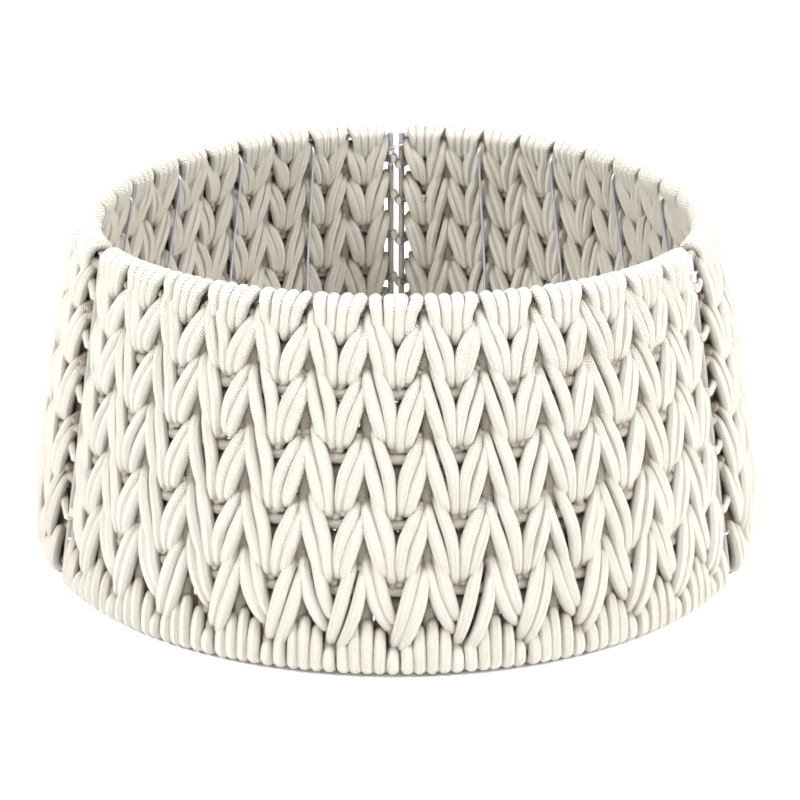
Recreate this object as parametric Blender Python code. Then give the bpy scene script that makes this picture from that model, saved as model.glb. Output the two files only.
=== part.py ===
"""Three-panel rope tree collar: wire frames, braided cord walls, and wire hooks at the three seams.

Run with: blender --background --python part.py
Metres, +Z up. The collar stands on its foot, and its bounding box is centred over the origin.
"""
import math

import bpy
from mathutils import Vector

# Driving dimensions
HEIGHT = 0.312            # foot to crest
TOP_RADIUS = 0.282        # middle of the wall at the crest
FOOT_RADIUS = 0.337       # middle of the wall at the foot
HALF_WALL = 0.013         # half of the wall's thickness
BULGE = 0.010             # how far a panel's middle swells out between its wires
ROUNDED_TRIANGLE = 0.021  # share by which the seams stand out and the panels flatten
COLUMNS = 13              # columns of braid in a panel
PLAN_CENTRE_Y = 0.0068    # middle of the plan's bounding box, brought over the origin

# The seams: two parallel rods, one at each panel's edge, held together by wire hooks
ROD_RADIUS = 0.003
ROD_OFFSET = 0.006        # rod's axis to the seam's plane
ROD_FOOT = 0.006
ROD_TOP = 0.301
BRAID_END = 0.009         # rod's axis to the end of the braid
PLAN_STEP = 0.002         # share on each side of a station that gives the plan's direction

# Frame wires, stays and weft
WIRE_RADIUS = 0.0025
STAY_RADIUS = 0.0016
STAY_FACE = 0.0132        # stay's middle, inside the wall's middle
STAY_BEND = 0.012         # height over which a stay turns in to its wire
STAY_SLIT = 0.0026        # half of the slit in the inner braid that a stay lies in
WEFT_RADIUS = 0.0032
WEFT_TURN = 0.010         # weft's turn to the braid's end
WEFT_HEIGHTS = (0.271, 0.229, 0.175, 0.120, 0.065)
STAYS_FROM_START = (2, 4, 6, 8, 10)
STAYS_FROM_END = (3, 5, 7, 9, 11)

# Braid layers
LAYER_INSIDE = 0.0048     # a layer's face beside the weft
LIP = 0.0145              # height of the lips that wrap the top and foot wires
LIP_CHANNEL = 0.009       # depth of the channel that a lip keeps round its wire
CHANNEL_HALF = 0.0035     # half of that channel's width
CREST_HALF = 0.0085       # half of the rounded rim's width, where its shoulder is
CREST_DROP = 0.0035       # shoulder of the rounded rim, below the top
FOOT_HALF = 0.0065        # half of the flat that stands on the floor
FOOT_SHOULDER = (0.0115, 0.005)
FACE_LEVELS = (0.07, 0.25, 0.5, 0.75, 0.92)
GAP = 0.0004              # between pieces that touch

# Hooks and their collars
HOOK_WIRE = 0.0011
EYE_RADIUS = 0.0052
EYE_START = 128           # degrees: the eye begins just clear of the shank
EYE_END = 450             # and closes into the shank
EYE_STEPS = 12
JAW_RADIUS = 0.0045
JAW_SWEEP = 110           # degrees of the open jaw
JAW_STEPS = 5
SHANK_REACH = 0.62        # share of the span where the shank is part way up
SHANK_RISE = 0.6
HOOK_RISE = 0.005         # from the eye up to the jaw
TOP_HOOK = 0.284
FOOT_HOOK = 0.044
COLLAR_RADIUS = 0.0048
COLLAR_HEIGHT = 0.014
COLLAR_SIDES = 12

PANELS = {"back_left": 90.0, "front": 210.0, "back_right": 330.0}  # azimuth of each panel's start
PANEL_ANGLE = 120.0
SEAMS = {"back": 90.0, "left": 210.0, "right": 330.0}

FABRIC = ((0.86, 0.84, 0.76), 0.95, 0.0)
STEEL = ((0.55, 0.55, 0.58), 0.35, 1.0)


def plan_radius(azimuth, radius):
    """Radius of the rounded triangle, largest at the seams."""
    return radius * (1.0 + ROUNDED_TRIANGLE * math.cos(3.0 * (azimuth - math.pi / 2)))


def level(z):
    """Share of the way from the foot wire to the top wire, going on past both."""
    return (z - HALF_WALL) / (HEIGHT - 2 * HALF_WALL)


def straight_radius(rise):
    """Radius on the straight line between the wires, at a share of the way up."""
    return FOOT_RADIUS + (TOP_RADIUS - FOOT_RADIUS) * rise


def seam_frame(seam_azimuth, z):
    """A point of the seam's plane at height z, with its outward and tangent directions."""
    azimuth = math.radians(seam_azimuth)
    outward = Vector((math.cos(azimuth), math.sin(azimuth), 0.0))
    tangent = Vector((-outward.y, outward.x, 0.0))
    point = outward * plan_radius(azimuth, straight_radius(level(z)))
    return point + Vector((0.0, -PLAN_CENTRE_Y, z)), outward, tangent


def rod_frame(seam_azimuth, z):
    """Directions square to a seam's rods, along the seam's tangent and inward, and the rods' own direction."""
    low, _, tangent = seam_frame(seam_azimuth, z)
    high, _, _ = seam_frame(seam_azimuth, z + COLLAR_HEIGHT)
    axis = (high - low).normalized()
    return tangent, axis.cross(tangent).normalized(), axis


def rod_point(seam_azimuth, side, z):
    """Axis of a seam's rod: side +1 starts the next panel, side -1 ends the last one."""
    point, _, tangent = seam_frame(seam_azimuth, z)
    return point + tangent * (side * ROD_OFFSET)


def middle_point(start, share, z):
    """Middle of the wall, share of the way from a panel's start rod to its end rod."""
    rise = min(1.0, max(0.0, level(z)))
    radius = straight_radius(rise)
    edge = ROD_OFFSET / radius
    even = math.radians(start) + edge + (math.radians(PANEL_ANGLE) - 2 * edge) * share
    azimuth = even - ROUNDED_TRIANGLE / 3 * math.sin(3 * (even - math.pi / 2))
    swell = BULGE * (1.0 - (2.0 * share - 1.0) ** 4) * 4.0 * rise * (1.0 - rise)
    reach = plan_radius(azimuth, radius + swell)
    return Vector((reach * math.cos(azimuth), reach * math.sin(azimuth) - PLAN_CENTRE_Y, z))


def wall_point(start, share, out, z):
    """A point of the wall, out from its middle along the plan's normal."""
    ahead = middle_point(start, share + PLAN_STEP, z)
    behind = middle_point(start, share - PLAN_STEP, z)
    along = (ahead - behind).normalized()
    return middle_point(start, share, z) + Vector((along.y, -along.x, 0.0)) * out


def material(name, finish):
    colour, roughness, metallic = finish
    made = bpy.data.materials.new(name)
    made.use_nodes = True
    shader = made.node_tree.nodes["Principled BSDF"]
    shader.inputs["Base Color"].default_value = (*colour, 1.0)
    shader.inputs["Roughness"].default_value = roughness
    shader.inputs["Metallic"].default_value = metallic
    return made


def add_object(name, data, finish):
    data.materials.append(material(name, finish))
    made = bpy.data.objects.new(name, data)
    bpy.context.collection.objects.link(made)
    return made


def add_wire(name, points, radius, sides_level, finish):
    """A round wire along a list of points, as a curve with a bevel and filled caps."""
    curve = bpy.data.curves.new(name, "CURVE")
    curve.dimensions = "3D"
    curve.bevel_depth = radius
    curve.bevel_resolution = sides_level
    curve.use_fill_caps = True
    spline = curve.splines.new("POLY")
    spline.points.add(len(points) - 1)
    for target, point in zip(spline.points, points):
        target.co = (*point, 1.0)
    return add_object(name, curve, finish)


def add_loft(name, sections, finish):
    """A closed solid through equal rings of points, with a flat cap at each end."""
    count = len(sections[0])
    vertices = [point for ring in sections for point in ring]
    faces = [tuple(range(count)), tuple(reversed(range(len(vertices) - count, len(vertices))))]
    for row in range(len(sections) - 1):
        for column in range(count):
            after = (column + 1) % count
            low, high = row * count, (row + 1) * count
            faces.append((low + after, low + column, high + column, high + after))
    mesh = bpy.data.meshes.new(name)
    mesh.from_pydata(vertices, [], faces)
    mesh.shade_smooth()
    mesh.set_sharp_from_angle(angle=math.radians(50))
    return add_object(name, mesh, finish)


def braid_shares(first, last, end_gap_first, end_gap_last):
    """Stations along a panel, one at each column, with the ends drawn in by a gap in metres."""
    length = math.radians(PANEL_ANGLE) * straight_radius(0.5)
    shares = [column / COLUMNS for column in range(first, last + 1)]
    shares[0] += end_gap_first / length
    shares[-1] -= end_gap_last / length
    return shares


def outer_section():
    """(out, z) ring of the outer braid: its face, and the lips that wrap both wires."""
    face = [(HALF_WALL, HEIGHT * share) for share in FACE_LEVELS]
    back = [(LAYER_INSIDE, z) for _, z in reversed(face)]
    shoulder, shoulder_rise = FOOT_SHOULDER
    foot = [(-FOOT_HALF, 0.0), (FOOT_HALF, 0.0), (shoulder, shoulder_rise)]
    rim = [(HALF_WALL, HEIGHT - LIP), (CREST_HALF, HEIGHT - CREST_DROP), (0.0, HEIGHT),
           (-CREST_HALF, HEIGHT - CREST_DROP), (-HALF_WALL, HEIGHT - LIP), (-LAYER_INSIDE, HEIGHT - LIP)]
    top_channel = [(-CHANNEL_HALF, HEIGHT - LIP_CHANNEL), (CHANNEL_HALF, HEIGHT - LIP_CHANNEL)]
    foot_channel = [(CHANNEL_HALF, LIP_CHANNEL), (-CHANNEL_HALF, LIP_CHANNEL)]
    foot_lip = [(-LAYER_INSIDE, LIP), (-HALF_WALL, LIP), (-shoulder, shoulder_rise)]
    return foot + face + rim + top_channel + back + foot_channel + foot_lip


def inner_section():
    """(out, z) ring of an inner braid strip, between the two lips."""
    low, high = LIP + GAP, HEIGHT - LIP - GAP
    heights = [low + (high - low) * share for share in (0.0, 0.25, 0.5, 0.75, 1.0)]
    return [(-LAYER_INSIDE, z) for z in heights] + [(-HALF_WALL, z) for z in reversed(heights)]


def add_braid(name, start, shares, ring):
    """A braid layer: the same ring of (out, z) points at each station."""
    sections = [[wall_point(start, share, out, z) for out, z in ring] for share in shares]
    return add_loft(name, sections, FABRIC)


def add_panel(name, start, stay_columns):
    end = start + PANEL_ANGLE
    wire_end = ROD_RADIUS + GAP
    for wire, z in (("top_wire", HEIGHT - HALF_WALL), ("foot_wire", HALF_WALL)):
        path = [wall_point(start, share, 0.0, z) for share in braid_shares(0, COLUMNS, wire_end, wire_end)]
        add_wire(f"{name}_{wire}", path, WIRE_RADIUS, 2, STEEL)
    for rod, seam, side in (("hinge_rod", start, 1), ("latch_rod", end, -1)):
        add_wire(f"{name}_{rod}", [rod_point(seam, side, ROD_FOOT), rod_point(seam, side, ROD_TOP)],
                 ROD_RADIUS, 4, STEEL)

    add_braid(f"{name}_outer_braid", start, braid_shares(0, COLUMNS, BRAID_END, BRAID_END), outer_section())
    edges = (0, *stay_columns, COLUMNS)
    for number, (first, last) in enumerate(zip(edges, edges[1:]), 1):
        gap_first = BRAID_END if first == 0 else STAY_SLIT
        gap_last = BRAID_END if last == COLUMNS else STAY_SLIT
        shares = braid_shares(first, last, gap_first, gap_last)
        add_braid(f"{name}_inner_braid_{number}", start, shares, inner_section())

    for number, column in enumerate(stay_columns, 1):
        add_wire(f"{name}_stay_{number}", stay_path(start, column / COLUMNS), STAY_RADIUS, 1, STEEL)
    add_wire(f"{name}_weft_cord", weft_path(start), WEFT_RADIUS, 1, FABRIC)


def stay_path(start, share):
    """A stay: from under the top wire, out to the inner face, straight down, and back to the foot wire."""
    top = HEIGHT - HALF_WALL - WIRE_RADIUS - STAY_RADIUS - GAP
    foot = HALF_WALL + WIRE_RADIUS + STAY_RADIUS + GAP
    ends = [(0.0, top), (-0.6 * STAY_FACE, top - 0.35 * STAY_BEND)]
    turns = [(-STAY_FACE, top - STAY_BEND)]
    points = [wall_point(start, share, out, z) for out, z in ends + turns]
    points += [wall_point(start, share, -STAY_FACE, HEIGHT / 2)]
    points += [wall_point(start, share, out, foot + top - z) for out, z in reversed(ends + turns)]
    return points


def weft_path(start):
    """The weft: one cord that runs to and fro through the wall, turning beside the rods."""
    shares = braid_shares(0, COLUMNS, BRAID_END + WEFT_TURN, BRAID_END + WEFT_TURN)
    points = []
    for row, z in enumerate(WEFT_HEIGHTS):
        ordered = shares if row % 2 == 0 else shares[::-1]
        points += [wall_point(start, share, 0.0, z) for share in ordered]
    return points


def hook_path(seam_azimuth, z):
    """A hook: a closed eye around the hinge rod, a shank, and a jaw over the latch rod.

    The eye and the jaw lie square to the rods, so the hook swings level on its collar. In that
    plane, along runs from the hinge rod to the latch rod, and in towards the collar's middle.
    """
    tangent, inward, _ = rod_frame(seam_azimuth, z)
    along = -tangent
    span = 2 * ROD_OFFSET
    plan = []
    for step in range(EYE_STEPS + 1):
        angle = math.radians(EYE_START + (EYE_END - EYE_START) * step / EYE_STEPS)
        plan.append((EYE_RADIUS * math.cos(angle), EYE_RADIUS * math.sin(angle), 0.0))
    plan.append((SHANK_REACH * span, EYE_RADIUS, SHANK_RISE * HOOK_RISE))
    for step in range(JAW_STEPS + 1):
        angle = math.radians(90 - JAW_SWEEP * step / JAW_STEPS)
        plan.append((span + JAW_RADIUS * math.cos(angle), JAW_RADIUS * math.sin(angle), HOOK_RISE))
    points = []
    for reach, deep, rise in plan:
        axis_point = rod_point(seam_azimuth, 1, z + rise)
        points.append(axis_point + along * reach + inward * deep)
    return points


def add_collar(name, seam_azimuth):
    """A short metal sleeve on the hinge rod, which carries the top hook's eye."""
    top = TOP_HOOK - HOOK_WIRE - GAP
    tangent, inward, _ = rod_frame(seam_azimuth, top)
    rings = []
    for radius, z in ((ROD_RADIUS + GAP, top - COLLAR_HEIGHT), (COLLAR_RADIUS, top - COLLAR_HEIGHT),
                      (COLLAR_RADIUS, top), (ROD_RADIUS + GAP, top)):
        centre = rod_point(seam_azimuth, 1, z)
        angles = [2 * math.pi * side / COLLAR_SIDES for side in range(COLLAR_SIDES)]
        rings.append([centre - inward * radius * math.cos(a) + tangent * radius * math.sin(a) for a in angles])
    vertices = [point for ring in rings for point in ring]
    faces = []
    for ring in range(len(rings)):
        low, high = ring * COLLAR_SIDES, (ring + 1) % len(rings) * COLLAR_SIDES
        for side in range(COLLAR_SIDES):
            after = (side + 1) % COLLAR_SIDES
            faces.append((low + side, low + after, high + after, high + side))
    mesh = bpy.data.meshes.new(name)
    mesh.from_pydata(vertices, [], faces)
    mesh.shade_smooth()
    mesh.set_sharp_from_angle(angle=math.radians(50))
    return add_object(name, mesh, STEEL)


def main():
    for item in list(bpy.data.objects):
        bpy.data.objects.remove(item, do_unlink=True)
    for name, start in PANELS.items():
        add_panel(name, start, STAYS_FROM_END if name == "back_right" else STAYS_FROM_START)
    for name, azimuth in SEAMS.items():
        for place, z in (("top", TOP_HOOK), ("foot", FOOT_HOOK)):
            add_wire(f"{name}_hook_{place}", hook_path(azimuth, z), HOOK_WIRE, 1, STEEL)
        add_collar(f"{name}_collar", azimuth)


main()
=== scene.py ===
"""Looks of the rope tree collar.

The braid of knitted cord, the covered rods, wires and clasps, and the floor, light and camera.
"""
import math

import bpy
import numpy as np
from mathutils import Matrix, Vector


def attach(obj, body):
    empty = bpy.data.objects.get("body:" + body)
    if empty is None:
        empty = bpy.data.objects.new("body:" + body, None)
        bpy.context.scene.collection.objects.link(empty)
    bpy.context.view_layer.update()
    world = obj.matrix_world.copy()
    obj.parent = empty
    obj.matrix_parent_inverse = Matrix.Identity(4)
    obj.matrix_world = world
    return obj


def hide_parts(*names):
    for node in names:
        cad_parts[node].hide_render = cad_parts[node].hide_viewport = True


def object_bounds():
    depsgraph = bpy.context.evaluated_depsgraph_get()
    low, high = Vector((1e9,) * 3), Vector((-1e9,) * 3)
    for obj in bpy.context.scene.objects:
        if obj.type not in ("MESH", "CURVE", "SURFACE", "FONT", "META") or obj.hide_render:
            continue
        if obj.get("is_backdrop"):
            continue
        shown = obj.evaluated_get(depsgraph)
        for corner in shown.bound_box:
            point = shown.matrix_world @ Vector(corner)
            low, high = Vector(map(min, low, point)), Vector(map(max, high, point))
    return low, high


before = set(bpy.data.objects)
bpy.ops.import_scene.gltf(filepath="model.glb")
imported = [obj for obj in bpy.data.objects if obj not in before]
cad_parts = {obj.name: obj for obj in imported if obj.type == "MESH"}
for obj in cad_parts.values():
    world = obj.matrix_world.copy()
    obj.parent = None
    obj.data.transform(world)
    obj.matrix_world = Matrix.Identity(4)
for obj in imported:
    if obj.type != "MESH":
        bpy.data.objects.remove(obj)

cad_low, cad_high = ([float(value) for value in corner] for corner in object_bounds())

# The wall's shape, as the CAD model makes it (metres)
HEIGHT = cad_high[2]
TOP_RADIUS = 0.282
FOOT_RADIUS = 0.337
HALF_WALL = 0.013
BULGE = 0.010
ROUNDED_TRIANGLE = 0.021
COLUMNS = 13
PLAN_CENTRE_Y = 0.0068
ROD_RADIUS = 0.003
ROD_OFFSET = 0.006
STAY_RADIUS = 0.0016
STAY_FACE = 0.0132
STAY_BEND = 0.012
WIRE_RADIUS = 0.0025
HOOK_WIRE = 0.0011
EYE_RADIUS = 0.0052
JAW_RADIUS = 0.0045
HOOK_RISE = 0.005
EYE_START, EYE_END, EYE_STEPS = 128, 450, 24
SHANK_REACH, SHANK_RISE = 0.62, 0.6
JAW_SWEEP, JAW_STEPS = 110, 10
HOOK_HEIGHTS = {"top": 0.284, "foot": 0.044}
COLLAR_RADIUS = 0.0048
COLLAR_HEIGHT = 0.014
GAP = 0.0004
PANEL_ANGLE = 120.0
PANELS = {"back_left": 90.0, "front": 210.0, "back_right": 330.0}
SEAMS = {"back": 90.0, "left": 210.0, "right": 330.0}
STAY_COLUMNS = {"back_left": (2, 4, 6, 8, 10), "front": (2, 4, 6, 8, 10), "back_right": (3, 5, 7, 9, 11)}

# The braid
COLUMN_EDGE = 0.008       # share of the panel between a rod and the first column
OUTER_EDGE = 0.0175       # the same for the outer arms, which swing towards the next panel's rod
FOOT_EDGE = 0.012
ROW_TIPS = (0.2400, 0.1900, 0.1360, 0.0805, 0.0225)
WEFT_TIPS = (0.2835,) + ROW_TIPS[:-1]
ROW_PITCH = 0.053         # the row height that the arms below are drawn for
CORD = 0.0113             # cord's width where it lies free
PINCHED = 0.0080          # cord's width where it dives under the weft
CREST = 0.0079            # middle of an arm at its crest, out from the wall's middle
UPPER_RUN = 0.0052        # the weft's upper run, below the tips that it holds
LOWER_RUN = 0.0172

# An arm's course by side (-1 left) and whether it is the inner of its pair: rows of distance from
# the column's middle, in columns, and height above the V's tip
ARMS = {
    (-1, True): ((0.37, 0.074), (0.25, 0.058), (0.125, 0.038), (0.085, 0.018), (0.075, 0.001)),
    (-1, False): ((0.51, 0.067), (0.45, 0.051), (0.35, 0.034), (0.25, 0.018), (0.18, 0.008)),
    (1, True): ((0.41, 0.066), (0.27, 0.051), (0.13, 0.034), (0.08, 0.017), (0.07, 0.002)),
    (1, False): ((0.51, 0.060), (0.43, 0.046), (0.33, 0.031), (0.23, 0.015), (0.18, 0.005)),
}
LAST_ARMS = {
    (-1, True): ((0.35, 0.088), (0.24, 0.068), (0.16, 0.050), (0.07, 0.036), (-0.02, 0.026)),
    (-1, False): ((0.49, 0.083), (0.43, 0.064), (0.34, 0.047), (0.21, 0.031), (0.08, 0.018)),
    (1, True): ((0.36, 0.080), (0.23, 0.060), (0.14, 0.042), (0.05, 0.023), (-0.05, 0.004)),
    (1, False): ((0.49, 0.074), (0.42, 0.054), (0.33, 0.035), (0.21, 0.016), (0.07, -0.002)),
}
SIDES = 10
SEAM_SHARE = 0.03         # share of a panel, beside its rods, that stays light: the painted crevice shade leaves it out
PLAN_STEP = 0.002         # share on each side of a point that gives the plan's direction

# The arms
ARM_POINTS = 14
FIRST_ROW_TOP = {-1: 0.2975, 1: 0.2900}   # where the first row's arms leave the top wrap, by side
LAST_ROW_STEP = 0.0012    # the last row's right arms lie this far over the wall, its left arms under
ARM_START = {-1: -0.0010, 1: -0.0022}     # how deep an arm's ends lie, by side
INNER_FACE_SPREAD = 0.95  # the inner arms leave room for the stays
ARM_DEPTH = 0.0104
FOOT_WIDENING = 0.12      # the cord's extra width at the foot, where columns are wider
SWAY, BOW = 0.014, 0.012  # how far arms stray, in columns
HEIGHT_VARIATION = 0.0012
OUT_VARIATION = 0.0003
WIDTH_VARIATION = 0.045

# The wraps: rows of place in the column and reach past the wire
TOP_CORDS = 4
TOP_FIRST, TOP_SPACING = 0.125, 0.248
TOP_OUTER_ENDS = ((0.21, 0.014), (0.39, 0.021), (0.53, 0.023), (0.66, 0.018))
TOP_INNER_ENDS = ((0.20, 0.012), (0.34, 0.022), (0.50, 0.024), (0.62, 0.026))
INNER_END_SHIFT = 0.06
TOP_WRAP_END, FOOT_WRAP_END = 0.003, 0.0035
TOP_WRAP_CORD, FOOT_WRAP_CORD = 0.0112, 0.0124
FOOT_SPOTS = ((0.186, 0.016), (0.373, 0.028), (0.560, 0.034), (0.750, 0.026), (0.945, 0.010))
FOOT_INNER_REACH = 0.03
WRAP_SWAY = 0.008
FOOT_END_SWAY = 0.012
WRAP_REACH_VARIATION = 0.001
WRAP_WIDTH_VARIATION = 0.03
SHOULDER, SHOULDER_DROP = 0.93, 0.55      # a wrap's flank beside its wire

# The weft, its turns round the rods, and the cords that pass through the wall
WEFT_POINTS = 66
WEFT_END = 0.35           # columns from the panel's ends to where the runs turn
WEFT_SPREAD = 0.0010      # upper run out, lower run in
WEFT_WAVE = 0.0005
WEFT_CORD = 0.0104
TURN_REACH = 0.0059
TURN_WIDTH, TURN_DEPTH = 0.0094, 0.0044
LATCH_TURN_DROP, HINGE_TURN_DROP = 0.0015, 0.0065
THROUGH_WIDTH, THROUGH_DEPTH = 0.0128, 0.0095
THROUGH_SWAY = 0.02

# Rod sleeves and tied ends
SLEEVE_FOOT = 0.018
SLEEVE_TOP = {1: 0.262, -1: 0.290}        # by side: the hinge rod's collar sits above its sleeve
SLEEVE_WALL = 0.00045
KNOT_PLACES = ((0.42, 0.214), (0.62, 0.122), (COLUMNS - 0.40, 0.226), (COLUMNS - 0.72, 0.128))
KNOT_OUT, KNOT_WAVE = 0.0095, 0.0016
KNOT_COLUMN = 0.048       # a column's width, for the knots' own size
KNOT_CORD, KNOT_END_CORD = 0.0036, 0.0032
random = np.random.default_rng(29)


def plan_radius(azimuth, radius):
    return radius * (1 + ROUNDED_TRIANGLE * np.cos(3 * (azimuth - math.pi / 2)))


def middle(start, share, z):
    """Middle of the wall, as (n, 3) points, for arrays of share along a panel and height."""
    rise = np.clip((z - HALF_WALL) / (HEIGHT - 2 * HALF_WALL), 0, 1)
    radius = FOOT_RADIUS + (TOP_RADIUS - FOOT_RADIUS) * rise
    edge = ROD_OFFSET / radius
    even = math.radians(start) + edge + (math.radians(PANEL_ANGLE) - 2 * edge) * share
    azimuth = even - ROUNDED_TRIANGLE / 3 * np.sin(3 * (even - math.pi / 2))
    swell = BULGE * (1 - (2 * share - 1) ** 4) * 4 * rise * (1 - rise)
    reach = plan_radius(azimuth, radius + swell)
    return np.stack([reach * np.cos(azimuth), reach * np.sin(azimuth) - PLAN_CENTRE_Y, z + 0 * reach], -1)


def wall(start, column, out, z, edge=COLUMN_EDGE):
    """Points of the wall and its level outward normals. Column 0 and COLUMNS are beside the rods."""
    column, out, z = np.broadcast_arrays(*(np.asarray(v, float) for v in (column, out, z)))
    share = edge + (1 - 2 * edge) * column / COLUMNS
    along = middle(start, share + PLAN_STEP, z) - middle(start, share - PLAN_STEP, z)
    along /= np.linalg.norm(along, axis=1, keepdims=True)
    normal = np.stack([along[:, 1], -along[:, 0], 0 * z], -1)
    return middle(start, share, z) + normal * out[:, None], normal


def smooth(points, count):
    """A smooth curve of count points through the given rows of values."""
    points = np.asarray(points, float)
    knots = np.linspace(0, 1, len(points))
    times = np.linspace(0, 1, count)
    slopes = np.gradient(points, knots, axis=0)
    low = np.clip(np.searchsorted(knots, times, side="right") - 1, 0, len(points) - 2)
    gap = knots[1]
    t = ((times - knots[low]) / gap)[:, None]
    return (
        (2 * t**3 - 3 * t**2 + 1) * points[low] + (t**3 - 2 * t**2 + t) * gap * slopes[low]
        + (-2 * t**3 + 3 * t**2) * points[low + 1] + (t**3 - t**2) * gap * slopes[low + 1]
    )


def painted_shade_depth(points):
    """How far each point is from the wall's middle, 0 to 1 at the cords' surface, and 1 beside a seam: the
    mask for the painted shade between the cords.
    """
    x, y, z = points.T
    y = y + PLAN_CENTRE_Y
    azimuth = np.arctan2(y, x)
    rise = np.clip((z - HALF_WALL) / (HEIGHT - 2 * HALF_WALL), 0, 1)
    share = (azimuth - math.pi / 2) % (2 * math.pi / 3) / (2 * math.pi / 3)
    swell = BULGE * (1 - (2 * share - 1) ** 4) * 4 * rise * (1 - rise)
    reach = plan_radius(azimuth, FOOT_RADIUS + (TOP_RADIUS - FOOT_RADIUS) * rise + swell)
    past_wire = np.maximum(0, np.maximum(z - HEIGHT + HALF_WALL, HALF_WALL - z))
    depth = np.hypot(np.hypot(x, y) - reach, past_wire) / HALF_WALL
    beside_seam = 1 - np.minimum(share, 1 - share) / SEAM_SHARE
    return np.clip(np.maximum(depth, beside_seam), 0, 1)


class Bundle:
    """Collects cords as one mesh, with a UV map of metres along each cord and turns around it."""

    def __init__(self):
        self.points, self.quads, self.caps, self.along, self.around = [], [], [], [], []
        self.count = 0

    def add(self, path, out, width, depth=None, sides=SIDES, closed=False):
        """One cord along path: width across, depth along the out vectors, with rounded ends unless closed."""
        path = np.asarray(path, float)
        width = np.broadcast_to(np.asarray(width, float), len(path)).copy()
        depth = width.copy() if depth is None else np.broadcast_to(np.asarray(depth, float), len(path)).copy()
        out = np.broadcast_to(np.asarray(out, float), path.shape)
        if closed:
            tangent = np.roll(path, -1, 0) - np.roll(path, 1, 0)
        else:
            tangent = np.gradient(path, axis=0)
        tangent /= np.linalg.norm(tangent, axis=1, keepdims=True)
        if not closed:
            path, out, tangent, width, depth = self.round_ends(path, out, tangent, width, depth)
        side = np.cross(tangent, out)
        side /= np.linalg.norm(side, axis=1, keepdims=True)
        up = np.cross(side, tangent)
        angle = np.arange(sides) * 2 * math.pi / sides
        ring = (
            path[:, None]
            + side[:, None] * (width / 2)[:, None, None] * np.cos(angle)[None, :, None]
            + up[:, None] * (depth / 2)[:, None, None] * np.sin(angle)[None, :, None]
        )
        self.place(ring, sides, closed)

    @staticmethod
    def round_ends(path, out, tangent, width, depth):
        """Adds three shrinking rings past each end."""
        steps = ((0.55, 0.83), (0.88, 0.48), (1.0, 0.12))
        head = [path[0] - tangent[0] * width[0] / 2 * reach for reach, _ in reversed(steps)]
        tail = [path[-1] + tangent[-1] * width[-1] / 2 * reach for reach, _ in steps]
        shrink = np.array([scale for _, scale in steps])
        path = np.concatenate([head, path, tail])
        out = np.concatenate([[out[0]] * 3, out, [out[-1]] * 3])
        tangent = np.concatenate([[tangent[0]] * 3, tangent, [tangent[-1]] * 3])
        width = np.concatenate([width[0] * shrink[::-1], width, width[-1] * shrink])
        depth = np.concatenate([depth[0] * shrink[::-1], depth, depth[-1] * shrink])
        return path, out, tangent, width, depth

    def place(self, ring, sides, closed):
        """Joins a cord's rings with quads, and keeps its caps and its UVs."""
        rows = len(ring)
        first = np.arange(rows if closed else rows - 1)[:, None]
        second = (first + 1) % rows
        here = np.arange(sides)[None, :]
        after = (here + 1) % sides
        corners = (first * sides + here, second * sides + here, second * sides + after, first * sides + after)
        quads = np.stack(corners, -1)
        self.quads.append(quads.reshape(-1, 4)[:, ::-1] + self.count)
        step = np.linalg.norm(np.diff(ring.mean(1), axis=0, append=ring.mean(1)[:1]), axis=1)
        length = np.concatenate([[0], np.cumsum(step)])
        along = np.stack([length[first + 0 * here], length[first + 1 + 0 * here],
                          length[first + 1 + 0 * here], length[first + 0 * here]], -1)
        turns = here + 0 * first
        around = np.stack([turns, turns, turns + 1, turns + 1], -1) / sides
        self.along.append(along.reshape(-1, 4)[:, ::-1] + random.random())
        self.around.append(around.reshape(-1, 4)[:, ::-1])
        if not closed:
            ends = np.arange(sides)
            self.caps.append(self.count + ends)
            self.caps.append(self.count + (rows - 1) * sides + ends[::-1])
        self.points.append(ring.reshape(-1, 3))
        self.count += rows * sides

    def build(self, name, body, material, slot, *nodes):
        """Makes the mesh object, rides it on a body and lets it stand for CAD nodes."""
        quads = np.concatenate(self.quads)
        caps = [list(map(int, cap)) for cap in self.caps]
        mesh = bpy.data.meshes.new(name)
        mesh.from_pydata(np.concatenate(self.points).tolist(), [], quads.tolist() + caps)
        uv = mesh.uv_layers.new(name="Cord")
        values = np.zeros((len(mesh.loops), 2), np.float32)
        values[: quads.size, 0] = np.concatenate(self.along).ravel()
        values[: quads.size, 1] = np.concatenate(self.around).ravel()
        uv.data.foreach_set("uv", values.ravel())
        # painted shade mask: 0 deep between the cords, where the knitted material paints shade, 1 at their
        # surface and beside the seams
        depth = mesh.attributes.new("depth", "FLOAT", "POINT")
        depth.data.foreach_set("value", painted_shade_depth(np.concatenate(self.points)).astype(np.float32))
        mesh.shade_smooth()
        mesh.materials.append(material)
        made = bpy.data.objects.new(name, mesh)
        bpy.context.collection.objects.link(made)
        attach(made, body)
        if nodes:
            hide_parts(*nodes)
        return made


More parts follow.
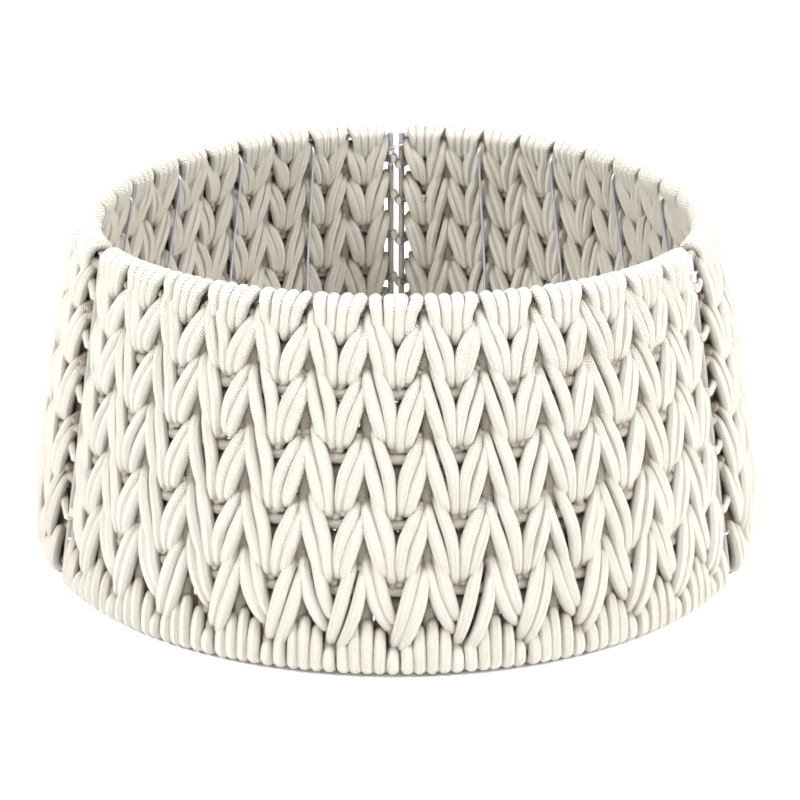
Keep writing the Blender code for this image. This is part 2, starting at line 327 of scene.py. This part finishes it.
# ---------------------------------------------------------------- materials
class Nodes:
    """Short calls for building a material's nodes."""

    def __init__(self, name):
        self.material = bpy.data.materials.new(name)
        self.material.use_nodes = True
        self.tree = self.material.node_tree
        self.shader = self.tree.nodes["Principled BSDF"]

    def add(self, kind, **settings):
        node = self.tree.nodes.new(kind)
        for key, value in settings.items():
            setattr(node, key, value)
        return node

    def link(self, source, target):
        self.tree.links.new(source, target)

    def math(self, operation, first, second=None, third=None):
        node = self.add("ShaderNodeMath", operation=operation)
        for socket, value in zip(node.inputs, (first, second, third)):
            if value is None:
                continue
            if isinstance(value, (int, float)):
                socket.default_value = value
            else:
                self.link(value, socket)
        return node.outputs[0]

    def noise(self, scale, detail=2.0):
        node = self.add("ShaderNodeTexNoise")
        node.inputs["Scale"].default_value = scale
        node.inputs["Detail"].default_value = detail
        place = self.add("ShaderNodeTexCoord")
        self.link(place.outputs["Object"], node.inputs["Vector"])
        return node.outputs["Fac"]

    def mix(self, factor, first, second):
        node = self.add("ShaderNodeMix", data_type="RGBA")
        self.link(factor, node.inputs["Factor"])
        for socket, value in zip((node.inputs[6], node.inputs[7]), (first, second)):
            if isinstance(value, tuple):
                socket.default_value = (*value, 1)
            else:
                self.link(value, socket)
        return node.outputs[2]

    def bump(self, height, strength, distance):
        node = self.add("ShaderNodeBump")
        node.inputs["Strength"].default_value = strength
        node.inputs["Distance"].default_value = distance
        self.link(height, node.inputs["Height"])
        self.link(node.outputs["Normal"], self.shader.inputs["Normal"])


PAINTED_CREVICE_SHADE = (0.32, 0.255, 0.17)   # painted shade: the dark colour that the cord's base colour turns to deep between its neighbours, where shade falls


def knitted(name, light, dark, stitch=0.0021, wales=7):
    """Knitted tube: rows of small V stitches that run along the cord, with painted shade in the stitch
    grooves and deep between the cords.
    """
    nodes = Nodes(name)
    uv = nodes.add("ShaderNodeUVMap", uv_map="Cord")
    split = nodes.add("ShaderNodeSeparateXYZ")
    nodes.link(uv.outputs["UV"], split.inputs[0])
    wale = nodes.math("MULTIPLY", split.outputs["Y"], float(wales))
    part = nodes.math("FRACT", wale)
    fold = nodes.math("ABSOLUTE", nodes.math("SUBTRACT", part, 0.5))
    course = nodes.math("DIVIDE", split.outputs["X"], stitch)
    lean = nodes.math("ADD", course, nodes.math("MULTIPLY", fold, 1.7))
    ripple = nodes.math("SINE", nodes.math("MULTIPLY", lean, 2 * math.pi))
    groove = nodes.math("POWER", nodes.math("MULTIPLY", fold, 2.0), 4.0)
    rib = nodes.math("MULTIPLY_ADD", ripple, 0.5, 0.5)
    height = nodes.math("SUBTRACT", rib, nodes.math("MULTIPLY", groove, 0.5))
    grain = nodes.noise(900.0, 3.0)
    height = nodes.math("ADD", height, nodes.math("MULTIPLY", grain, 0.7))
    tone = nodes.noise(26.0, 2.0)
    # colour factor: the stitch ripple darkens the grooves as painted shade, and the noise adds random tone
    groove_shade_and_tone = nodes.math("ADD", nodes.math("MULTIPLY", rib, 0.45), nodes.math("MULTIPLY", tone, 0.8))
    level = nodes.add("ShaderNodeMapRange")
    level.inputs["From Min"].default_value = 0.1
    level.inputs["From Max"].default_value = 0.9
    nodes.link(groove_shade_and_tone, level.inputs["Value"])
    # painted shade: by the depth attribute, the base colour darkens to the crevice colour deep between the
    # cords
    shadow = nodes.add("ShaderNodeMapRange", interpolation_type="SMOOTHSTEP")
    shadow.inputs["From Min"].default_value = 0.05
    shadow.inputs["From Max"].default_value = 0.80
    depth = nodes.add("ShaderNodeAttribute", attribute_name="depth")
    nodes.link(depth.outputs["Fac"], shadow.inputs["Value"])
    colour = nodes.mix(shadow.outputs[0], PAINTED_CREVICE_SHADE, nodes.mix(level.outputs[0], dark, light))
    nodes.link(colour, nodes.shader.inputs["Base Color"])
    nodes.bump(height, 1.0, 0.0022)
    nodes.shader.inputs["Roughness"].default_value = 0.92
    nodes.shader.inputs["Specular IOR Level"].default_value = 0.2
    nodes.shader.inputs["Sheen Weight"].default_value = 0.15
    nodes.shader.inputs["Sheen Roughness"].default_value = 0.5
    return nodes.material


def metal(name, light, dark, roughness, grain_scale):
    """Drawn wire: streaky tone and a little roughness variation."""
    nodes = Nodes(name)
    grain = nodes.noise(grain_scale, 4.0)
    nodes.link(nodes.mix(grain, dark, light), nodes.shader.inputs["Base Color"])
    rough = nodes.add("ShaderNodeMapRange")
    rough.inputs["To Min"].default_value = roughness - 0.08
    rough.inputs["To Max"].default_value = roughness + 0.12
    nodes.link(grain, rough.inputs["Value"])
    nodes.link(rough.outputs[0], nodes.shader.inputs["Roughness"])
    nodes.bump(grain, 0.15, 0.0002)
    nodes.shader.inputs["Metallic"].default_value = 0.85
    return nodes.material


rope = knitted("knitted_cotton_rope", (0.92, 0.885, 0.785), (0.80, 0.755, 0.645))
# painted shade: a slightly darker, warmer copy of the rope colours for the inner face, which lies in shade
shaded_inner_rope = knitted("knitted_cotton_rope_shaded_inside", (0.92, 0.875, 0.76), (0.80, 0.745, 0.62))
cover = knitted("rod_cover", (0.82, 0.79, 0.70), (0.68, 0.64, 0.54), stitch=0.0011, wales=6)
wire = metal("galvanised_wire", (0.60, 0.60, 0.65), (0.44, 0.44, 0.50), 0.42, 160.0)
clasp = metal("zinc_clasp", (0.78, 0.79, 0.83), (0.62, 0.63, 0.68), 0.25, 220.0)


# ---------------------------------------------------------------- braid
def add_arm(bundle, start, face, column, side, inner, tip, row):
    """One cord of a V: from the column's edge down to its middle, over a pair of weft cords."""
    last = row == len(ROW_TIPS) - 1
    offset, rise = smooth((LAST_ARMS if last else ARMS)[side, inner], ARM_POINTS).T
    if row == 0:
        rise = rise * (FIRST_ROW_TOP[side] - tip) / rise[0]
    elif not last:
        rise = rise * (ROW_TIPS[row - 1] - tip) / ROW_PITCH
    crest = CREST
    if last:
        crest += LAST_ROW_STEP * side
    t = np.linspace(0, 1, len(rise))
    keep_clear = 1.0 if face > 0 else INNER_FACE_SPREAD
    sway = random.normal(0, SWAY) + random.normal(0, BOW) * np.sin(math.pi * t)
    centre = column + 0.5 + side * (offset * keep_clear + sway)
    z = tip + rise + random.normal(0, HEIGHT_VARIATION)
    swell = np.sin(math.pi * t) ** 0.45
    low = ARM_START[side]
    out = low + (crest - low + random.normal(0, OUT_VARIATION)) * swell
    path, normal = wall(start, centre, face * out, z, OUTER_EDGE if face > 0 else COLUMN_EDGE)
    scale = (1 + FOOT_WIDENING * (1 - z / HEIGHT)) * (1 + random.normal(0, WIDTH_VARIATION))
    width = (PINCHED + (CORD - PINCHED) * np.sin(math.pi * t) ** 0.7) * scale
    bundle.add(path, normal * face, width, np.minimum(width, ARM_DEPTH))


def braid_arms(start, face):
    """All the V arms of a panel's outer face (1) or inner face (-1)."""
    bundle = Bundle()
    for column in range(COLUMNS):
        for row, tip in enumerate(ROW_TIPS):
            for side in (-1, 1):
                for inner in (False, True):
                    add_arm(bundle, start, face, column, side, inner, tip, row)
    return bundle


def wrap_section(turn_z, sign, outer_reach, inner_reach, outer_deep, inner_deep):
    """(out, z) rows round the wire at turn_z, from the outer to the inner face. Sign +1 goes over the top."""
    radius = HALF_WALL - CORD / 2
    rows = [(outer_deep, turn_z - sign * outer_reach)]
    rows.append((radius * SHOULDER, turn_z - sign * outer_reach * SHOULDER_DROP))
    for degrees in range(0, 181, 30):
        angle = math.radians(degrees)
        rows.append((radius * math.cos(angle), turn_z + sign * radius * math.sin(angle)))
    rows.append((-radius * SHOULDER, turn_z - sign * inner_reach * SHOULDER_DROP))
    rows.append((-inner_deep, turn_z - sign * inner_reach))
    return rows


def add_wrap(bundle, start, turn_z, sign, columns, reaches, deeps, width, edge=COLUMN_EDGE):
    """A cord over the top wire or under the foot wire. Columns are at its outer end, wire and inner end."""
    rows = wrap_section(turn_z, sign, *reaches, *deeps)
    turn = np.linspace(-1, 1, len(rows))
    outer, over, inner = columns
    lean = np.abs(turn) ** 1.3
    across = np.where(turn < 0, over + (outer - over) * lean, over + (inner - over) * lean)
    rows = smooth(np.column_stack([rows, across]), 19)
    path, normal = wall(start, rows[:, 2], rows[:, 0], rows[:, 1], edge)
    centre, _ = wall(start, rows[:, 2], 0 * rows[:, 0], np.full(len(rows), turn_z), edge)
    out = path - centre
    straight = sign * (rows[:, 1] - turn_z) < 0
    out[straight] = normal[straight] * np.sign(rows[straight, 0])[:, None]
    t = np.linspace(0, 1, len(rows))
    size = width * (0.80 + 0.20 * np.sin(math.pi * t) ** 0.5) * (1 + random.normal(0, WRAP_WIDTH_VARIATION))
    bundle.add(path, out, size, np.minimum(size, CORD))


def top_wrap(start, lean):
    """Four cords a column over the top wire, which meet in a short V on the outer face."""
    bundle = Bundle()
    turn_z = HEIGHT - HALF_WALL
    for column in range(COLUMNS):
        for number in range(TOP_CORDS):
            over = TOP_FIRST + TOP_SPACING * number + random.normal(0, WRAP_SWAY)
            outer_column, outer_reach = TOP_OUTER_ENDS[number]
            inner_column, inner_reach = TOP_INNER_ENDS[number if lean > 0 else TOP_CORDS - 1 - number]
            inner_column = inner_column + INNER_END_SHIFT if lean > 0 else 1 - INNER_END_SHIFT - inner_column
            outer_reach += random.normal(0, WRAP_REACH_VARIATION)
            inner_reach += random.normal(0, WRAP_REACH_VARIATION)
            columns = (column + outer_column, column + over, column + inner_column)
            reaches = (outer_reach, inner_reach)
            deeps = (TOP_WRAP_END, TOP_WRAP_END)
            add_wrap(bundle, start, turn_z, 1, columns, reaches, deeps, TOP_WRAP_CORD)
    return bundle


def foot_wrap(start):
    """Five cords a column round the foot wire, the last a short stub beside the V's tip."""
    bundle = Bundle()
    for column in range(COLUMNS):
        for spot, reach in FOOT_SPOTS:
            place = (column + 0.5 + spot) % COLUMNS + random.normal(0, WRAP_SWAY)
            outer_place = place + random.normal(0, FOOT_END_SWAY)
            inner_place = place + random.normal(0, FOOT_END_SWAY)
            columns = (outer_place, place, inner_place)
            reaches = (reach, FOOT_INNER_REACH)
            deeps = (FOOT_WRAP_END, FOOT_WRAP_END)
            add_wrap(bundle, start, HALF_WALL, -1, columns, reaches, deeps, FOOT_WRAP_CORD, FOOT_EDGE)
    return bundle


def weft(start):
    """Each row's weft, and the cords that pass through the wall between the rows.

    A row is one loop: the upper run, round the latch rod, back along the lower run, round the hinge rod.
    """
    bundle = Bundle()
    for tip in WEFT_TIPS:
        upper, lower = tip - UPPER_RUN, tip - LOWER_RUN
        columns = np.linspace(WEFT_END, COLUMNS - WEFT_END, WEFT_POINTS)
        runs = []
        for z, out, order in ((upper, WEFT_SPREAD, columns), (lower, -WEFT_SPREAD, columns[::-1])):
            sway = WEFT_WAVE * np.sin(order * 2 * math.pi + random.random() * 6)
            path, normal = wall(start, order, out, z + sway)
            runs.append((path, normal))
        ends = [
            round_rod(start + PANEL_ANGLE, -1, lower - LATCH_TURN_DROP, TURN_REACH, 1),
            round_rod(start, 1, upper - HINGE_TURN_DROP, TURN_REACH, -1),
        ]
        path = np.concatenate([runs[0][0], ends[0][0], runs[1][0], ends[1][0]])
        out = np.concatenate([runs[0][1], ends[0][1], runs[1][1], ends[1][1]])
        free = np.full(WEFT_POINTS, WEFT_CORD)
        turn = np.full(len(ends[0][0]), TURN_WIDTH)
        thin = np.full(len(ends[0][0]), TURN_DEPTH)
        width = np.concatenate([free, turn, free, turn])
        depth = np.concatenate([free, thin, free, thin])
        bundle.add(path, out, width, depth, closed=True)
    for tip, below in zip(WEFT_TIPS, ROW_TIPS):
        for place in np.arange(0.5, COLUMNS - 0.25, 0.5):
            heights = np.linspace(tip - LOWER_RUN - 0.004, below + 0.001, 5)
            path, normal = wall(start, place + random.normal(0, THROUGH_SWAY), 0.0, heights)
            bundle.add(path, normal, THROUGH_WIDTH, THROUGH_DEPTH)
    return bundle


def seam_plane(azimuth, z):
    """A seam's point at height z, with its outward and tangent directions."""
    angle = math.radians(azimuth)
    outward = np.array([math.cos(angle), math.sin(angle), 0.0])
    tangent = np.array([-outward[1], outward[0], 0.0])
    rise = (z - HALF_WALL) / (HEIGHT - 2 * HALF_WALL)
    radius = plan_radius(angle, FOOT_RADIUS + (TOP_RADIUS - FOOT_RADIUS) * rise)
    return outward * radius + np.array([0.0, -PLAN_CENTRE_Y, z]), outward, tangent


def rod_frame(azimuth, z):
    """Directions square to a seam's rods: along the seam's tangent, and inward."""
    low, _, tangent = seam_plane(azimuth, z)
    high, _, _ = seam_plane(azimuth, z + COLLAR_HEIGHT)
    inward = np.cross(high - low, tangent)
    return tangent, inward / np.linalg.norm(inward)


def rod_point(azimuth, side, z):
    """A point of a rod's axis: side +1 starts the next panel, side -1 ends the last one."""
    point, _, tangent = seam_plane(azimuth, z)
    return point + tangent * side * ROD_OFFSET


def round_rod(azimuth, side, z, reach, going):
    """Half a turn of cord round a rod: from the outer side to the inner side if going is 1."""
    _, outward, tangent = seam_plane(azimuth, z)
    centre = rod_point(azimuth, side, z)
    path, out = [], []
    for angle in np.linspace(80, -80, 7) * going:
        turn = math.radians(angle)
        direction = outward * math.sin(turn) - side * tangent * math.cos(turn)
        path.append(centre + direction * reach)
        out.append(direction)
    return np.array(path), np.array(out)


def rod_covers(start):
    """The knitted sleeve on each of a panel's two rods."""
    bundle = Bundle()
    for azimuth, side in ((start, 1), (start + PANEL_ANGLE, -1)):
        heights = np.linspace(SLEEVE_FOOT, SLEEVE_TOP[side], 24)
        path = np.array([rod_point(azimuth, side, z) for z in heights])
        _, outward, _ = seam_plane(azimuth, 0.1)
        size = 2 * (ROD_RADIUS + SLEEVE_WALL) + 0.0002 * np.sin(heights * 900)
        bundle.add(path, outward, size, sides=12)
    return bundle


def knots(start, face):
    """Cord ends tied off beside the rods."""
    bundle = Bundle()
    for column, z in KNOT_PLACES:
        angle = np.linspace(0, 2 * math.pi, 25)[:-1]
        out = face * (KNOT_OUT + KNOT_WAVE * np.sin(3 * angle))
        across = column + (np.sin(angle) + 1.5 * np.sin(2 * angle)) * KNOT_WAVE / KNOT_COLUMN
        height = z + (np.cos(angle) - 1.5 * np.cos(2 * angle)) * 0.0014
        path, normal = wall(start, across, out, height)
        bundle.add(path, normal, KNOT_CORD, sides=8, closed=True)
        for lean in (-1, 1):
            t = np.linspace(0, 1, 5)
            heights = z - 0.004 - 0.006 * t
            path, normal = wall(start, column + lean * 0.09 * t, face * (0.0092 - 0.001 * t), heights)
            bundle.add(path, normal, KNOT_END_CORD, sides=8)
    return bundle


def stays(start, columns):
    """Upright wires on the inner face, bent in to the top and foot wires."""
    bundle = Bundle()
    top = HEIGHT - HALF_WALL - WIRE_RADIUS - STAY_RADIUS - GAP
    foot = HALF_WALL + WIRE_RADIUS + STAY_RADIUS + GAP
    ends = [(0.0, top), (-0.6 * STAY_FACE, top - 0.35 * STAY_BEND), (-STAY_FACE, top - STAY_BEND)]
    for column in columns:
        share = column / COLUMNS
        rows = ends + [(-STAY_FACE, HEIGHT / 2)] + [(out, foot + top - z) for out, z in reversed(ends)]
        rows = np.array(rows)
        place = (share - COLUMN_EDGE) / (1 - 2 * COLUMN_EDGE) * COLUMNS
        path, _ = wall(start, place, rows[:, 0], rows[:, 1])
        _, normal = wall(start, place, 0.0, np.full(2, HEIGHT / 2))
        heights = np.linspace(0, len(path) - 1, 3 * len(path))
        path = np.stack([np.interp(heights, np.arange(len(path)), path[:, axis]) for axis in range(3)], -1)
        bundle.add(path, -normal[0], 2 * STAY_RADIUS, sides=10)
    return bundle


def hook(azimuth, height):
    """A hook: a closed eye round the hinge rod, a shank, and a jaw over the latch rod."""
    tangent, inward = rod_frame(azimuth, height)
    span = 2 * ROD_OFFSET
    plan = []
    for step in range(EYE_STEPS + 1):
        angle = math.radians(EYE_START + (EYE_END - EYE_START) * step / EYE_STEPS)
        plan.append((EYE_RADIUS * math.cos(angle), EYE_RADIUS * math.sin(angle), 0.0))
    plan.append((SHANK_REACH * span, EYE_RADIUS, SHANK_RISE * HOOK_RISE))
    for step in range(JAW_STEPS + 1):
        angle = math.radians(90 - JAW_SWEEP * step / JAW_STEPS)
        plan.append((span + JAW_RADIUS * math.cos(angle), JAW_RADIUS * math.sin(angle), HOOK_RISE))
    path = []
    for reach, deep, rise in plan:
        path.append(rod_point(azimuth, 1, height + rise) - tangent * reach + inward * deep)
    bundle = Bundle()
    bundle.add(np.array(path), (0, 0, 1), 2 * HOOK_WIRE, sides=10)
    return bundle


def collar(azimuth):
    """The short sleeve that carries the top hook's eye, with rolled rims."""
    top = HOOK_HEIGHTS["top"] - HOOK_WIRE - GAP
    heights = top - COLLAR_HEIGHT * np.array([0.0, 0.04, 0.10, 0.18, 0.5, 0.82, 0.90, 0.96, 1.0])
    wide = np.array([0.90, 1.0, 1.0, 0.93, 0.91, 0.93, 1.0, 1.0, 0.90]) * 2 * COLLAR_RADIUS
    path = np.array([rod_point(azimuth, 1, z) for z in heights])
    _, outward, _ = seam_plane(azimuth, top)
    bundle = Bundle()
    bundle.add(path, outward, wide, sides=20)
    return bundle


def dress_panel(name, start):
    """Everything that rides on one panel."""
    inner_nodes = [f"{name}_inner_braid_{number}" for number in range(1, 7)]
    braid_arms(start, 1).build(f"{name}_outer_arms", name, rope, "cotton_rope", f"{name}_outer_braid")
    braid_arms(start, -1).build(f"{name}_inner_arms", name, shaded_inner_rope, "cotton_rope", *inner_nodes)
    top_wrap(start, -1 if name == "back_right" else 1).build(f"{name}_top_wrap", name, rope, "cotton_rope")
    foot_wrap(start).build(f"{name}_foot_wrap", name, rope, "cotton_rope")
    weft(start).build(f"{name}_weft", name, rope, "cotton_rope", f"{name}_weft_cord")
    rod_covers(start).build(f"{name}_rod_covers", name, cover, "cotton_rope")
    knots(start, 1 if name == "front" else -1).build(f"{name}_knots", name, rope, "cotton_rope")
    stay_nodes = [f"{name}_stay_{number}" for number in range(1, 6)]
    stays(start, STAY_COLUMNS[name]).build(f"{name}_stays", name, wire, "frame_wire", *stay_nodes)


def dress_clasps():
    """The wire hooks and their collars. Only the back seam's hooks swing on their own."""
    hook_bodies = {
        "back": {"top": "top_hook", "foot": "foot_hook"},
        "left": {"top": "back_left", "foot": "back_left"},
        "right": {"top": "front", "foot": "front"},
    }
    collar_bodies = {"back": "back_left", "left": "front", "right": "back_right"}
    for seam, azimuth in SEAMS.items():
        for place, height in HOOK_HEIGHTS.items():
            node = f"{seam}_hook_{place}"
            hook(azimuth, height).build(f"{node}_wire", hook_bodies[seam][place], clasp, "clasp_steel", node)
        node = f"{seam}_collar"
        collar(azimuth).build(f"{node}_sleeve", collar_bodies[seam], clasp, "clasp_steel", node)


def dress_frame_nodes():
    """The CAD wires and rods stay, in the galvanised wire material."""
    for node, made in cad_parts.items():
        if node.endswith(("_wire", "_rod")):
            made.data.materials.clear()
            made.data.materials.append(wire)


# ---------------------------------------------------------------- stage
CAMERA_TURN = 22.93       # degrees above level
CAMERA_REACH = 1.655
CAMERA_AIM = 0.105
CAMERA_SHIFT = 0.0049
LENS = 75.8
FLOOR_HALF = 12.0
WORLD_STRENGTH = 0.92
LIGHTS = {                # place, aim, size and power
    "key": ((-2.3, -1.1, 2.0), (0, 0, 0.15), 1.0, 100),
    "overhead": ((0.2, 0.2, 2.6), (0, 0, 0.1), 1.6, 52),
    "fill": ((2.3, -1.0, 1.7), (0, 0, 0.15), 1.0, 84),
}


def add_area(name, place, aim, size, power):
    """A round area light at place, turned to aim."""
    data = bpy.data.lights.new(name, "AREA")
    data.shape = "DISK"
    data.size = size
    data.energy = power
    lamp = bpy.data.objects.new(name, data)
    bpy.context.collection.objects.link(lamp)
    lamp.location = place
    direction = np.array(aim) - np.array(place)
    lamp.rotation_euler = (
        math.atan2(math.hypot(direction[0], direction[1]), -direction[2]), 0.0,
        math.atan2(direction[1], direction[0]) - math.pi / 2,
    )


def stage():
    """Floor, world, lights and camera."""
    mesh = bpy.data.meshes.new("floor")
    corners = [(x * FLOOR_HALF, y * FLOOR_HALF, 0) for x, y in ((-1, -1), (1, -1), (1, 1), (-1, 1))]
    mesh.from_pydata(corners, [], [(0, 1, 2, 3)])
    floor = bpy.data.objects.new("floor", mesh)
    bpy.context.collection.objects.link(floor)
    nodes = Nodes("pale_floor")
    nodes.shader.inputs["Base Color"].default_value = (0.90, 0.90, 0.90, 1)
    nodes.shader.inputs["Roughness"].default_value = 0.9
    mesh.materials.append(nodes.material)
    floor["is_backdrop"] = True

    world = bpy.data.worlds.new("studio")
    bpy.context.scene.world = world
    world.use_nodes = True
    background = world.node_tree.nodes["Background"]
    background.inputs["Color"].default_value = (1.0, 1.0, 1.0, 1)
    background.inputs["Strength"].default_value = WORLD_STRENGTH
    bpy.context.scene.view_settings.view_transform = "Standard"
    for name, light in LIGHTS.items():
        add_area(name, *light)

    data = bpy.data.cameras.new("camera")
    data.lens = LENS
    data.sensor_width = 36.0
    data.shift_x = CAMERA_SHIFT
    camera = bpy.data.objects.new("camera", data)
    bpy.context.collection.objects.link(camera)
    turn = math.radians(CAMERA_TURN)
    back = CAMERA_REACH * math.cos(turn)
    camera.location = (0.0, -PLAN_CENTRE_Y - back, CAMERA_AIM + CAMERA_REACH * math.sin(turn))
    camera.rotation_euler = (math.pi / 2 - turn, 0.0, 0.0)
    bpy.context.scene.camera = camera


stage()
for panel, azimuth in PANELS.items():
    dress_panel(panel, azimuth)
dress_clasps()
dress_frame_nodes()
